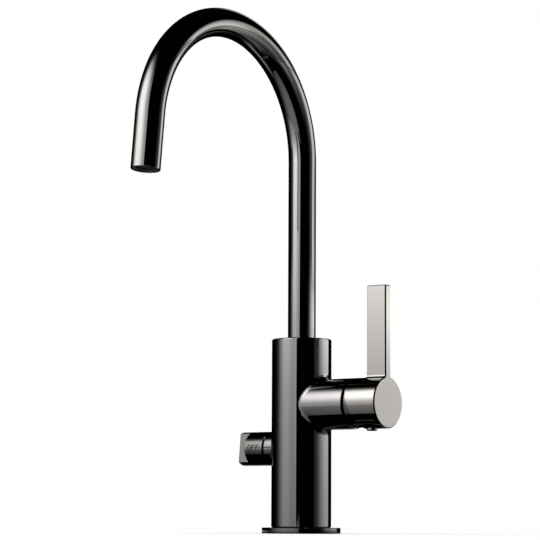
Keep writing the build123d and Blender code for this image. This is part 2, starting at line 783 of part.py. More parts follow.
def valve_knob():
    """Round knob whose outer end is milled to a flat grip."""
    knob = rod_x(stub_radius, -knob_end, -knob_start, z=valve_height)
    flat_size = (knob_end - knob_grip_start + overlap, stub_radius, stub_radius * 2 + overlap)
    flat = Box(*flat_size, align=(Align.MAX, Align.MIN, Align.CENTER))
    flat = Pos(-knob_grip_start, knob_grip_half, 0) * flat
    for turn in (-knob_lean, 180 - knob_lean):
        knob -= Pos(0, 0, valve_height) * Rot(turn, 0, 0) * flat
    end_outline = knob.faces().sort_by(Axis.X)[0].outer_wire().edges()
    knob = chamfer(end_outline, knob_edge)
    inner_rim = knob.edges().filter_by(GeomType.CIRCLE).sort_by(Axis.X)[-1]
    knob = chamfer(inner_rim, knob_inner_edge)
    hollow_end = -knob_start - knob_hollow_depth
    knob -= rod_x(knob_hollow_radius, hollow_end, -knob_start + overlap, z=valve_height)
    knob -= rod_x(spindle_radius + slip_gap, -spindle_end - slip_gap, hollow_end + overlap, z=valve_height)
    return knob - rod_z(knob_grub_radius, valve_height - stub_radius - overlap, valve_height, -knob_grub_x)


def knob_grub_screw():
    """Set screw that clamps the knob on the spindle."""
    high = valve_height - spindle_radius
    low = high - knob_grub_length
    screw = rod_z(knob_grub_radius - slip_gap, low, high, -knob_grub_x)
    recess = extrude(RegularPolygon(knob_grub_radius / 2, 6), amount=knob_grub_radius)
    return screw - Pos(-knob_grub_x, 0, low) * recess


def aerator_seal():
    """Rubber washer between the aerator and the tube's shoulder."""
    outer = aerator_radius - slip_gap
    low = -aerator_depth
    high = low + aerator_seal_thickness
    seal = rod_z(outer, low, high) - rod_z(outer - aerator_seal_width, low - overlap, high + overlap)
    return outlet_place().location * seal


def aerator_housing():
    """Threaded ring with a lip and four slots for its key."""
    outer = aerator_radius - slip_gap
    low = -aerator_depth + aerator_seal_thickness
    high = -aerator_recess
    lip_low = high - aerator_lip_height
    ring = rod_z(outer, low, high) - rod_z(outer - aerator_wall, low - overlap, lip_low)
    ring -= rod_z(outer - aerator_wall - aerator_lip, lip_low - overlap, high + overlap)
    half = aerator_slot_width / 2
    slot_low = high - aerator_slot_depth
    ring -= block(-half, half, -outer - overlap, outer + overlap, slot_low, high + overlap)
    ring -= block(-outer - overlap, outer + overlap, -half, half, slot_low, high + overlap)
    return outlet_place().location * ring


def screen_top():
    """Outer face of the screen, against the housing's lip."""
    return -aerator_recess - aerator_lip_height - film_gap


def aerator_screen():
    """Perforated screen on the inner side of the housing's lip."""
    radius = aerator_radius - slip_gap * 2 - aerator_wall
    high = screen_top()
    low = high - screen_thickness
    plate = rod_z(radius, low, high)
    rows = int(radius / screen_pitch)
    half = screen_hole / 2
    holes = []
    for row in range(-rows, rows + 1):
        for column in range(-rows, rows + 1):
            x = column * screen_pitch
            y = row * screen_pitch
            hole = block(x - half, x + half, y - half, y + half, low - overlap, high + overlap)
            if sqrt(x * x + y * y) + screen_hole < radius:
                holes.append(hole)
    return outlet_place().location * (plate - holes)


def aerator_insert():
    """Flow former above the screen, with two circles of holes."""
    radius = aerator_radius - slip_gap * 2 - aerator_wall
    low = -aerator_depth + aerator_seal_thickness
    high = screen_top() - screen_thickness - film_gap
    plug = rod_z(radius, low, high)
    hole = rod_z(insert_hole, low - overlap, high + overlap)
    plug -= PolarLocations(insert_outer_circle, insert_outer_holes) * hole
    plug -= PolarLocations(insert_inner_circle, insert_inner_holes) * hole
    return outlet_place().location * plug


nodes = {
    "mixer_body": mixer_body,
    "base_flange": base_flange,
    "base_gasket": base_gasket,
    "flange_o_ring": flange_o_ring,
    "upper_glide_ring": upper_glide_ring,
    "lower_glide_ring": lower_glide_ring,
    "spout_stop_screw": spout_stop_screw,
    "spout_tube": spout_tube,
    "spout_foot": spout_foot,
    "spout_o_rings": spout_o_rings,
    "aerator_seal": aerator_seal,
    "aerator_housing": aerator_housing,
    "aerator_insert": aerator_insert,
    "aerator_screen": aerator_screen,
    "cartridge_base": cartridge_base,
    "port_seals": port_seals,
    "disc_seal": disc_seal,
    "fixed_disc": fixed_disc,
    "moving_disc": moving_disc,
    "disc_carrier": disc_carrier,
    "cartridge_housing": cartridge_housing,
    "cartridge_rotor": cartridge_rotor,
    "pivot_pin": pivot_pin,
    "lever_stem": lever_stem,
    "cartridge_nut": cartridge_nut,
    "lever_cover_ring": lever_cover_ring,
    "lever_handle": lever_handle,
    "lever_grub_screw": lever_grub_screw,
    "lever_screw_cap": lever_screw_cap,
    "valve_headwork": valve_headwork,
    "valve_headwork_o_ring": valve_headwork_o_ring,
    "valve_seat_seal": valve_seat_seal,
    "valve_fixed_disc": valve_fixed_disc,
    "valve_rotary_disc": valve_rotary_disc,
    "valve_spindle": valve_spindle,
    "valve_spindle_o_ring": valve_spindle_o_ring,
    "valve_circlip": valve_circlip,
    "valve_knob": valve_knob,
    "knob_grub_screw": knob_grub_screw,
}

os.makedirs("parts", exist_ok=True)
for name, make in nodes.items():
    shape = make()
    if isinstance(shape, list):
        shape = Compound(children=shape)
    export_step(shape, "parts/" + name + ".step")
    print(name, "volume", round(shape.volume, 1))
print("disc travel", round(disc_travel, 3))
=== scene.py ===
import json
from math import cos, pi, radians, sin, tau

import bpy
from bpy.props import FloatProperty, FloatVectorProperty, PointerProperty
from mathutils import Matrix, Vector


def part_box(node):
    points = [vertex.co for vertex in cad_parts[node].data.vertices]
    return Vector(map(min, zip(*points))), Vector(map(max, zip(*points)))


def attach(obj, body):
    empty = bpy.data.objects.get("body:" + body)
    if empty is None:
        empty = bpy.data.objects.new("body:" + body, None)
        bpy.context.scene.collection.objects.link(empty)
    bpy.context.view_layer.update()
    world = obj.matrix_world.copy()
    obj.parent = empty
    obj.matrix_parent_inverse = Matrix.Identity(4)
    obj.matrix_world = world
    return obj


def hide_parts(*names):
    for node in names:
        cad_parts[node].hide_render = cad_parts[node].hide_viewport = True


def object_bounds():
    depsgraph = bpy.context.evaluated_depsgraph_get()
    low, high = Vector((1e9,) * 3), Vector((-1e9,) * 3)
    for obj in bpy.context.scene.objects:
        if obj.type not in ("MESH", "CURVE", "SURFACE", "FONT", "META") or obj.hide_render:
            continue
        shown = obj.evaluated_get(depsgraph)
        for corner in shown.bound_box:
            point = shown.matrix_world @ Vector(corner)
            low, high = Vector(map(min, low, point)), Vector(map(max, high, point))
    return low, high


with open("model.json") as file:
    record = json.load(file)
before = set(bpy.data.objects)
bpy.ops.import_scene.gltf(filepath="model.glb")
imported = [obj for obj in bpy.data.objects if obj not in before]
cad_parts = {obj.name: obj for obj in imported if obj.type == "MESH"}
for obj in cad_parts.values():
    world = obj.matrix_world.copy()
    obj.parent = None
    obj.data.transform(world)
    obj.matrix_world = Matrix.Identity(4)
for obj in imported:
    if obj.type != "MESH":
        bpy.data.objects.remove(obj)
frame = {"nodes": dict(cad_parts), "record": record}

bl_info = {
    "name": "Kitchen Mixer Tap",
    "version": (1, 0, 0),
    "blender": (4, 5, 0),
    "location": "3D View > Sidebar > Mixer Tap",
    "description": "Dresses the kitchen mixer tap in black chrome and sets its studio",
    "category": "Object",
}

# Metres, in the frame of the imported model: +Z up, spout along -Y, lever on +X.
cad_low, cad_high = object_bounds()
MM = 0.001
spout_low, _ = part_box("spout_tube")
knob_low, knob_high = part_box("valve_knob")
screen_low, screen_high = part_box("aerator_screen")
slot_of = {part["node"]: part["material_slot"] for part in frame["record"]["subparts"]}

# Directions, and how the pattern of the polishing lines is scaled along X, Y and Z.
UPRIGHT = (0.0, 0.0, 1.0)
SIDEWAYS = (1.0, 0.0, 0.0)
LINES_ALONG_X = (0.03, 1.0, 1.0)
LINES_ALONG_Z = (1.0, 1.0, 0.03)

# How finely the shaped pieces are divided.
TUBE_SIDES = 96
RISER_STEPS = 10
ARCH_STEPS = 126
OUTLET_STEPS = 6
RIM_STEPS = 4
RIM_POINTS = 96
RIM_SIDES = 10
WIRE_POINTS = 73
WIRE_SIDES = 5
THREAD_POINTS = 48
THREAD_SIDES = 6
ROUND_LETTER_STEPS = 28
INK_STEP = 0.4 * MM
INK_CORNERS = 4

# Small sizes: the screen's rim, the threads' start and share of their bore, and the ink's two faces.
SCREEN_RIM = 0.3 * MM
THREAD_LIFT = 1.2 * MM
THREAD_SHARE = 0.7
INK_BELOW = -0.02 * MM
INK_ABOVE = 0.03 * MM

# The letters' proportions: shares of the stroke, or of a plain letter's width.
ROUND_LETTER_WIDTH = 1.12
LETTER_GAP = 1.4
BAR_RISE = 0.2
BAR_LENGTH = 0.88

# Light strengths of the studio, where 1 renders as white.
WHITE = (1.0, 1.0, 1.0)
SHEET_LIGHT = 4.0
BACK_LIGHT = 0.35 * SHEET_LIGHT
MAT_FRONT_LIGHT = 0.19 * SHEET_LIGHT
MAT_REAR_LIGHT = 0.16 * SHEET_LIGHT
MAT_BACK_LIGHT = 0.15 * SHEET_LIGHT
CLOTH_LIGHT = 0.001
WORLD_LIGHT = 0.8
FLOOR_WHITE = 0.8
FLOOR_GLOW_NEAR = 0.18
FLOOR_GLOW_FAR = 0.47

# The studio in metres. Angles are in degrees, and azimuths turn from the spout towards the lever.
FRONT_PANEL = {"azimuth": -30.0, "distance": 0.7, "sides": (-1.0, 1.0), "height": 1.6}
REAR_PANEL = {"azimuth": 140.0, "distance": 0.4, "sides": (-0.6, 0.2), "height": 0.6}
BACK_PANEL = {"azimuth": 225.0, "distance": 1.0, "sides": (-0.9, 0.9), "height": 1.4}
KEY_PLACE = (-0.9, -1.2, 1.2)
FILL_PLACE = (1.2, 0.9, 1.1)
DISC_SIDES = 96
FLOOR_NEAR = 0.5
FLOOR_FAR = 2.5
MAT_LIFT = 0.2 * MM
MAT_PAST_ROOM = 1.1
MAT_FADE = 0.25
LAMP_SIZE = 1.2
LAMP_AIM = Vector((0.0, 0.0, 0.15))
NET_SIDES = (0.014, 0.075)
NET_FRONT = -0.14
NET_REAR = -0.005
NET_FADE = 0.03
NET_DROP = 0.034
ROOM_RINGS = 24
ROOM_SEGMENTS = 64
ROOM_LOWEST = -4.0


def number(name, description, default, **kind):
    """Property that holds a number of one kind."""
    return FloatProperty(name=name, description=description, default=default, **kind)


def length(name, description, default):
    """Property that holds a length in metres."""
    return number(name, description, default, subtype="DISTANCE", unit="LENGTH", precision=5)


def angle(name, description, default):
    """Property that holds an angle in radians."""
    return number(name, description, default, subtype="ANGLE", unit="ROTATION")


def power(name, description, default):
    """Property that holds a lamp's power in watts."""
    return number(name, description, default, subtype="POWER", unit="POWER")


def tone(name, description, default):
    """Property that holds a colour."""
    return FloatVectorProperty(
        name=name,
        description=description,
        subtype="COLOR",
        size=3,
        min=0.0,
        max=1.0,
        default=default,
    )


class TapFinishSettings(bpy.types.PropertyGroup):
    """Colours and gloss of the tap's surfaces; the lever's, knob's and ring's chrome are lighter or darker
    copies of the body's, which paint light and shade.
    """

    chrome_tone: tone("Black chrome", "Reflected colour of the body's plating", (0.25, 0.246, 0.248))
    # Painted light: the lever's plating is the body's black chrome, set lighter so the lever reads as more
    # brightly lit.
    lever_lit_tone: tone("Lever chrome", "Reflected colour of the lever's plating", (0.315, 0.308, 0.293))
    # The spout's plating is set a little darker than the body's.
    spout_tone: tone("Spout chrome", "Reflected colour of the spout's plating", (0.222, 0.219, 0.213))
    # Painted shade: the knob's plating is the body's black chrome, set darker to stand for the dimmer light
    # around the knob.
    knob_shaded_tone: tone("Knob chrome", "Reflected colour of the valve knob's plating", (0.205, 0.204, 0.197))
    # Painted shade: the cover ring's plating is the body's black chrome, set darker to stand for the shade in
    # its groove beside the hub.
    ring_shaded_tone: tone("Ring chrome", "Reflected colour of the lever's cover ring", (0.165, 0.162, 0.16))
    chrome_roughness: number(
        "Black chrome roughness",
        "Roughness of the polished plating",
        0.04,
        subtype="FACTOR",
        min=0.0,
        max=1.0,
    )
    brass_tone: tone("Brass", "Colour of the bare brass pieces", (0.76, 0.56, 0.27))
    steel_tone: tone("Steel", "Colour of the stainless pieces", (0.56, 0.555, 0.545))
    screen_tone: tone("Aerator screen", "Colour of the darkened wire screen", (0.07, 0.07, 0.068))
    ceramic_tone: tone("Ceramic", "Colour of the lapped discs", (0.82, 0.80, 0.75))
    cartridge_tone: tone("Cartridge plastic", "Colour of the cartridge's shell", (0.72, 0.72, 0.69))
    black_plastic_tone: tone("Black plastic", "Colour of rings and aerator", (0.022, 0.022, 0.023))
    rubber_tone: tone("Rubber", "Colour of the seals", (0.018, 0.018, 0.018))
    ink_tone: tone("Marking", "Colour of the marking on the valve", (0.016, 0.009, 0.006))


class TapSizeSettings(bpy.types.PropertyGroup):
    """Sizes of the pieces that are shaped here."""

    riser_length: length("Riser length", "Tube from its foot to the start of the arch", 0.16548)
    arch_radius: length("Arch radius", "Radius of the spout's centre line", 0.0945)
    arch_angle: angle("Arch angle", "Turn of the arch", radians(174.0))
    outlet_run: length("Outlet run", "Straight end of the tube after the arch", 0.0415)
    tube_radius: length("Tube radius", "Outer radius of the spout tube", 0.011)
    tube_wall: length("Tube wall", "Wall of the spout tube", 0.0015)
    outlet_bore: length("Outlet bore", "Radius of the counterbore for the aerator", 0.0099)
    outlet_bore_depth: length("Outlet bore depth", "Depth of that counterbore", 0.013)
    outlet_edge: length("Outlet edge", "Round on the tube's outlet rim", 0.0003)
    wire_pitch: length("Wire pitch", "Distance between the screen's wires", 0.0009)
    wire_radius: length("Wire radius", "Half the thickness of a wire", 0.00013)
    thread_pitch: length("Thread pitch", "Pitch of the threads in the underside", 0.001)
    thread_height: length("Thread height", "How far a thread stands in from its bore", 0.0002)
    letter_height: length("Letter height", "Height of the word on the knob", 0.0044)
    letter_stroke: length("Letter stroke", "Width of a letter's stroke", 0.0007)
    letter_start: length("Letter start", "Distance of the word's left end from the axis", 0.0433)
    letter_pitch: length("Letter pitch", "Distance from one letter to the next", 0.004)
    mark_rise: length("Mark rise", "Height of the markings' middle above the valve's axis", 0.0007)
    index_start: length("Index start", "Outer end of the index line on the stub", 0.0274)
    index_end: length("Index end", "Inner end of the index line on the stub", 0.0206)


class TapStageSettings(bpy.types.PropertyGroup):
    """Studio around the tap."""

    floor_radius: length("Floor radius", "Radius of the pale round floor", 6.0)
    room_radius: length("Dark room radius", "Radius of the cloth room that the metal reflects", 3.0)
    key_power: power("Key lamp", "Power of the lamp ahead of the tap", 11.0)
    fill_power: power("Fill lamp", "Power of the lamp behind the tap", 7.0)
    camera_turn: angle("Camera turn", "Angle from straight ahead of the spout towards the lever", 0.6290)
    camera_distance: length("Camera distance", "Distance of the camera from the body's axis", 1.65834)
    camera_height: length("Camera height", "Height of the camera above the worktop", 0.01386)
    camera_yaw: angle("Camera yaw", "Turn of the view past the body's axis", 0.0153)
    camera_pitch: angle("Camera pitch", "Tilt of the view above level", 0.1161)
    camera_roll: angle("Camera roll", "Turn of the view about its own axis", 0.0051)
    camera_lens: number(
        "Camera lens",
        "Focal length in millimetres on a sensor 36 mm wide",
        140.35,
        subtype="DISTANCE_CAMERA",
    )


class Field:
    """Value that may differ from point to point: a node's output, with plain arithmetic."""

    def __init__(self, node, output=0):
        self.tree = node.id_data
        self.socket = node.outputs[output]

    def into(self, socket):
        """Joins the value to an input."""
        self.tree.links.new(self.socket, socket)

    def apply(self, operation, *others):
        """Value that a math node makes of this one and the others."""
        return calculate(self.tree, operation, self, *others)

    def __add__(self, other):
        return self.apply("ADD", other)

    def __sub__(self, other):
        return self.apply("SUBTRACT", other)

    def __rsub__(self, other):
        return calculate(self.tree, "SUBTRACT", other, self)

    def __mul__(self, other):
        return self.apply("MULTIPLY", other)

    def __truediv__(self, other):
        return self.apply("DIVIDE", other)

    def __pow__(self, exponent):
        return self.apply("POWER", exponent)

    def ease(self, start, end, low=0.0, high=1.0):
        """Value eased from low at start to high at end."""
        inputs = {"Value": self, "From Min": start, "From Max": end, "To Min": low, "To Max": high}
        return made(self.tree, "ShaderNodeMapRange", inputs, "Result", interpolation_type="SMOOTHSTEP")

    def window(self, low, low_soft, high, high_soft):
        """Mask that is one between low and high, with its own softness at each end."""
        rise = self.ease(low - low_soft / 2, low + low_soft / 2)
        return rise * self.ease(high - high_soft / 2, high + high_soft / 2, 1.0, 0.0)


def add_node(tree, kind, inputs, **modes):
    """Node of a kind in its modes, with fields or plain values in its inputs."""
    node = tree.nodes.new(kind)
    for mode, choice in modes.items():
        setattr(node, mode, choice)
    for label, value in inputs.items():
        if isinstance(value, Field):
            value.into(node.inputs[label])
        else:
            node.inputs[label].default_value = value
    return node


def made(tree, kind, inputs, output=0, **modes):
    """One output of a new node."""
    return Field(add_node(tree, kind, inputs, **modes), output)


def calculate(tree, operation, *values):
    """Value of a math node whose inputs are fields or numbers."""
    return made(tree, "ShaderNodeMath", dict(enumerate(values)), operation=operation)


def vector_math(operation, first, second, output):
    """Vector or value that a vector math node makes of two vectors."""
    return made(first.tree, "ShaderNodeVectorMath", {0: first, 1: second}, output, operation=operation)


def distance_of(place):
    """Distance of a place from the origin."""
    return made(place.tree, "ShaderNodeVectorMath", {0: place}, "Value", operation="LENGTH")


def axes(vector):
    """The three parts of a vector."""
    node = add_node(vector.tree, "ShaderNodeSeparateXYZ", {0: vector})
    return [Field(node, axis) for axis in "XYZ"]


def joined(tree, *parts):
    """Vector made of three parts."""
    return made(tree, "ShaderNodeCombineXYZ", dict(enumerate(parts)))


def coordinates(tree, kind):
    """Texture coordinates of one kind."""
    return made(tree, "ShaderNodeTexCoord", {}, kind)


def noise(place, scale, detail=2.0, roughness=0.5):
    """Noise value at a place."""
    inputs = {"Vector": place, "Scale": scale, "Detail": detail, "Roughness": roughness}
    return made(place.tree, "ShaderNodeTexNoise", inputs, "Fac")


def add_socket(tree, label, side, kind="Float", default=None):
    """Adds a named input or output to a node group."""
    socket = tree.interface.new_socket(name=label, in_out=side, socket_type="NodeSocket" + kind)
    if default is not None:
        socket.default_value = default


def effect_group(name, inputs, outputs):
    """Empty shader group; returns the fields of its inputs and the sockets of its result."""
    tree = bpy.data.node_groups.new(name, "ShaderNodeTree")
    add_socket(tree, "Place", "INPUT", "Vector")
    for label, default in inputs.items():
        add_socket(tree, label, "INPUT", "Float" if isinstance(default, float) else "Vector", default)
    for label in outputs:
        add_socket(tree, label, "OUTPUT")
    given = tree.nodes.new("NodeGroupInput")
    fields = [Field(given, label) for label in ("Place", *inputs)]
    return *fields, tree.nodes.new("NodeGroupOutput").inputs


def make_haze_group():
    """Soft clouds of handling haze, as a mask."""
    place, scale, cover, result = effect_group("handling_haze", {"Scale": 18.0, "Cover": 0.5}, ["Mask"])
    cloud = noise(place, scale, detail=4.0, roughness=0.55)
    start = 0.75 - cover * 0.4
    cloud.ease(start, start + 0.25).into(result["Mask"])


def make_hairline_group():
    """Fine lines left by the polishing wheel, as a mask and a height."""
    inputs = {"Stretch": LINES_ALONG_Z, "Scale": 2500.0}
    place, stretch, scale, result = effect_group("polishing_lines", inputs, ["Mask", "Height"])
    stretched = vector_math("MULTIPLY", place, stretch, "Vector")
    lines = noise(stretched, scale, roughness=0.6)
    lines.ease(0.55, 0.8).into(result["Mask"])
    lines.into(result["Height"])


def make_speck_group():
    """Sparse specks of dust or pitting, as a mask."""
    place, scale, size, result = effect_group("fine_specks", {"Scale": 300.0, "Size": 0.1}, ["Mask"])
    cells = made(place.tree, "ShaderNodeTexVoronoi", {"Vector": place, "Scale": scale}, "Distance")
    reach = size * noise(place, 90.0, detail=1.0)
    cells.apply("LESS_THAN", reach).into(result["Mask"])


def make_grain_group():
    """Grain of a moulded surface, as a height and a mask."""
    place, scale, result = effect_group("moulded_grain", {"Scale": 3000.0}, ["Height", "Mask"])
    noise(place, scale, detail=3.0, roughness=0.6).into(result["Height"])
    noise(place, 120.0).ease(0.35, 0.7).into(result["Mask"])


def make_turning_group():
    """Fine rings that a lathe leaves along an axis, as a height."""
    inputs = {"Axis": UPRIGHT, "Pitch": 0.25 * MM}
    place, axis, pitch, result = effect_group("turning_rings", inputs, ["Height"])
    rings = vector_math("DOT_PRODUCT", place, axis, "Value") / pitch
    wave = (rings * tau).apply("SINE")
    (wave * noise(place, 700.0)).into(result["Height"])


def effect(name, place, **values):
    """Places a shared effect in a material with its own values; returns its named outputs."""
    group = bpy.data.node_groups[name]
    node = add_node(place.tree, "ShaderNodeGroup", {"Place": place, **values}, node_tree=group)
    return {socket.name: Field(node, socket.name) for socket in node.outputs}


def new_material(name):
    """Empty node material; returns it, its tree and its surface input."""
    material = bpy.data.materials.new(name)
    material.use_nodes = True
    tree = material.node_tree
    tree.nodes.clear()
    return material, tree, tree.nodes.new("ShaderNodeOutputMaterial").inputs["Surface"]


def new_finish(name):
    """Material with a Principled shader; returns both and the place on the piece."""
    material, tree, surface = new_material(name)
    shader = tree.nodes.new("ShaderNodeBsdfPrincipled")
    Field(shader).into(surface)
    return material, shader, coordinates(tree, "Object")


def colour_by(shader, mask, first, second):
    """Base colour between two, by a mask."""
    inputs = {"Factor": mask, "A": (*first, 1.0), "B": (*second, 1.0)}
    mixed = made(mask.tree, "ShaderNodeMix", inputs, "Result", data_type="RGBA")
    mixed.into(shader.inputs["Base Color"])


def roughen(shader, rough, *layers):
    """Roughness from a base value that each mask raises by its own amount."""
    for mask, amount in layers:
        rough = mask.apply("MULTIPLY_ADD", amount, rough)
    rough.into(shader.inputs["Roughness"])


def bump(shader, height, distance, strength, under=None):
    """Bump from a height, joined to the shader's normal, over another normal if given."""
    inputs = {"Strength": strength, "Distance": distance, "Height": height}
    if under is not None:
        inputs["Normal"] = under
    normal = made(height.tree, "ShaderNodeBump", inputs)
    normal.into(shader.inputs["Normal"])
    return normal


def scaled(tones, factor):
    """Colour made darker or lighter."""
    return [channel * factor for channel in tones]


def black_chrome(name, tones, stretch):
    """Polished dark plating with faint haze, polishing lines and specks."""
    material, shader, place = new_finish(name)
    haze = effect("handling_haze", place, Scale=22.0, Cover=0.5)["Mask"]
    lines = effect("polishing_lines", place, Stretch=stretch, Scale=2600.0)
    specks = effect("fine_specks", place, Scale=420.0, Size=0.12)["Mask"]
    colour_by(shader, haze, tones, scaled(tones, 0.965))
    shader.inputs["Metallic"].default_value = 1.0
    roughness = bpy.context.scene.tap_finish.chrome_roughness
    roughen(shader, roughness, (haze, 0.02), (lines["Mask"], 0.02), (specks, 0.12))
    ripple = noise(place, 160.0, detail=1.0)
    under = bump(shader, ripple, distance=0.02 * MM, strength=0.35)
    bump(shader, lines["Height"], distance=0.0015 * MM, strength=0.3, under=under)
    return material


def turned_metal(name, axis, tones, dull, pitch, roughness):
    """Machined metal with lathe rings along its axis and dull patches."""
    material, shader, place = new_finish(name)
    rings = effect("turning_rings", place, Axis=axis, Pitch=pitch)["Height"]
    haze = effect("handling_haze", place, Scale=60.0, Cover=0.6)["Mask"]
    specks = effect("fine_specks", place, Scale=500.0, Size=0.2)["Mask"]
    colour_by(shader, haze, tones, dull)
    shader.inputs["Metallic"].default_value = 1.0
    roughen(shader, roughness, (haze, 0.12), (specks, 0.2))
    bump(shader, rings, distance=0.02 * MM, strength=0.5)
    return material


def moulded(name, tones, worn, roughness, scale, depth):
    """Moulded plastic or rubber with a fine grain and uneven gloss."""
    material, shader, place = new_finish(name)
    grain = effect("moulded_grain", place, Scale=scale)
    haze = effect("handling_haze", place, Scale=80.0, Cover=0.55)["Mask"]
    colour_by(shader, haze, tones, worn)
    roughen(shader, roughness, (grain["Mask"], 0.12))
    bump(shader, grain["Height"], distance=depth, strength=0.5)
    return material


def lapped_ceramic(name, tones):
    """Sintered ceramic, lapped nearly to a mirror, with fine pores."""
    material, shader, place = new_finish(name)
    pores = effect("fine_specks", place, Scale=1600.0, Size=0.35)["Mask"]
    haze = effect("handling_haze", place, Scale=120.0, Cover=0.5)["Mask"]
    colour_by(shader, pores, tones, scaled(tones, 0.9))
    roughen(shader, 0.14, (haze, 0.08), (pores, 0.25))
    bump(shader, pores, distance=-0.02 * MM, strength=0.4)
    return material


def marking_ink(name, tones):
    """Thin fired ink of the valve's marking, worn a little at random."""
    material, shader, place = new_finish(name)
    grain = effect("moulded_grain", place, Scale=9000.0)["Height"]
    specks = effect("fine_specks", place, Scale=2200.0, Size=0.5)["Mask"]
    colour_by(shader, specks, tones, scaled(tones, 1.8))
    roughen(shader, 0.5, (grain, 0.2))
    shader.inputs["Specular IOR Level"].default_value = 0.25
    return material


def dress(name, material):
    """Gives a carried-over piece its material."""
    mesh = frame["nodes"][name].data
    mesh.materials.clear()
    mesh.materials.append(material)


def add_object(name, data):
    """Object of a mesh, lamp or camera, linked to the scene."""
    added = bpy.data.objects.new(name, data)
    bpy.context.scene.collection.objects.link(added)
    return added


def new_mesh(name, points, faces):
    """Mesh made from points and faces."""
    mesh = bpy.data.meshes.new(name)
    mesh.from_pydata(points, [], faces)
    mesh.update()
    return mesh


def circle(radius, height, segments):
    """Points of a level circle about Z."""
    turns = [tau * step / segments for step in range(segments)]
    return [(radius * cos(turn), radius * sin(turn), height) for turn in turns]


def band(low, high, segments):
    """Faces between two circles, whose points start at low and at high."""
    pairs = [(step, (step + 1) % segments) for step in range(segments)]
    return [(low + step, low + after, high + after, high + step) for step, after in pairs]


def even_steps(start, end, count):
    """Numbers from start to end in equal steps, both included."""
    return [start + (end - start) * step / count for step in range(count + 1)]


def geometry_tree(name, sizes):
    """Empty geometry tree with named sizes; returns it and the fields of its inputs."""
    tree = bpy.data.node_groups.new(name, "GeometryNodeTree")
    add_socket(tree, "Geometry", "INPUT", "Geometry")
    for label, value in sizes.items():
        add_socket(tree, label, "INPUT", "Float", value)
    add_socket(tree, "Finish", "INPUT", "Material")
    add_socket(tree, "Geometry", "OUTPUT", "Geometry")
    given = tree.nodes.new("NodeGroupInput")
    return tree, {label: Field(given, label) for label in ("Geometry", *sizes, "Finish")}


def real_geometry(shape):
    """Instances made real."""
    return made(shape.tree, "GeometryNodeRealizeInstances", {"Geometry": shape})


def end_tree(shape, given):
    """Ends a geometry tree in real geometry with its material."""
    inputs = {"Geometry": real_geometry(shape), "Material": given["Finish"]}
    painted = made(shape.tree, "GeometryNodeSetMaterial", inputs)
    painted.into(shape.tree.nodes.new("NodeGroupOutput").inputs["Geometry"])


def point_axes(tree):
    """The three parts of each point's place."""
    return axes(made(tree, "GeometryNodeInputPosition", {}))


def move_points(shape, *parts):
    """Shape with its points at a new place."""
    inputs = {"Geometry": shape, "Position": joined(shape.tree, *parts)}
    return made(shape.tree, "GeometryNodeSetPosition", inputs)


def on_points(points, shape):
    """Shape set on each point."""
    return made(shape.tree, "GeometryNodeInstanceOnPoints", {"Points": points, "Instance": shape})


def curve_circle(radius, sides):
    """Round curve about Z."""
    inputs = {"Resolution": sides, "Radius": radius}
    return made(radius.tree, "GeometryNodeCurvePrimitiveCircle", inputs)


def wire_along(curve, radius, sides):
    """Round wire along a curve, closed at its ends."""
    inputs = {"Curve": curve, "Profile Curve": curve_circle(radius, sides), "Fill Caps": True}
    return made(curve.tree, "GeometryNodeCurveToMesh", inputs)


def shape_by_tree(name, draft, tree, sizes, finish, place=None):
    """Runs a geometry tree on a draft mesh and keeps the result as a plain mesh."""
    maker = add_object(name + "_draft", draft)
    modifier = maker.modifiers.new("shape", "NODES")
    modifier.node_group = tree
    values = {**sizes, "Finish": finish}
    for socket in tree.interface.items_tree:
        if socket.name in values:
            modifier[socket.identifier] = values[socket.name]
    depsgraph = bpy.context.evaluated_depsgraph_get()
    mesh = bpy.data.meshes.new_from_object(maker.evaluated_get(depsgraph), depsgraph=depsgraph)
    bpy.data.objects.remove(maker)
    if place is not None:
        mesh.transform(place)
    mesh.name = name
    return add_object(name, mesh)


def lathe(name, outline, creases, segments):
    """Closed shell turned about Z from an outline of radius and height, sharp at its creases."""
    points = []
    faces = []
    for row, (radius, height) in enumerate(outline):
        points += circle(radius, height, segments)
        faces += band(row * segments, (row + 1) % len(outline) * segments, segments)
    mesh = new_mesh(name, points, faces)
    mesh.polygons.foreach_set("use_smooth", [True] * len(mesh.polygons))
    for edge in mesh.edges:
        first, second = (vertex // segments for vertex in edge.vertices)
        edge.use_edge_sharp = first == second and first in creases
    mesh.update()
    return mesh


def spout_outline(sizes):
    """Wall of the straightened spout tube as a closed outline, and its creased corners."""
    arch_start = sizes.riser_length
    arch_end = arch_start + sizes.arch_radius * sizes.arch_angle
    end = arch_end + sizes.outlet_run
    outer = sizes.tube_radius
    inner = outer - sizes.tube_wall
    bore = sizes.outlet_bore
    edge = sizes.outlet_edge
    seat = end - sizes.outlet_bore_depth
    rows = even_steps(edge * 2, arch_start, RISER_STEPS)
    rows += even_steps(arch_start, arch_end, ARCH_STEPS)[1:]
    rows += even_steps(arch_end, end - edge * 3, OUTLET_STEPS)[1:]
    outline = [(outer - edge, 0.0), (outer, edge)]
    outline += [(outer, row) for row in rows]
    round_start = len(outline)
    for turn in even_steps(0.0, pi / 2, RIM_STEPS):
        outline.append((outer - edge + edge * cos(turn), end - edge + edge * sin(turn)))
    round_end = len(outline) - 1
    outline += [(bore + edge / 3, end), (bore, end - edge / 3)]
    outline += [(bore, row) for row in even_steps(end - edge, seat, RIM_STEPS)]
    seat_corner = len(outline) - 1
    inner_rows = [0.0, *(row for row in rows if row < seat), seat]
    outline += [(inner, row) for row in reversed(inner_rows)]
    creases = {0, 1, round_start, round_end, round_end + 1, round_end + 2}
    creases |= {seat_corner, seat_corner + 1, len(outline) - 1}
    return outline, creases


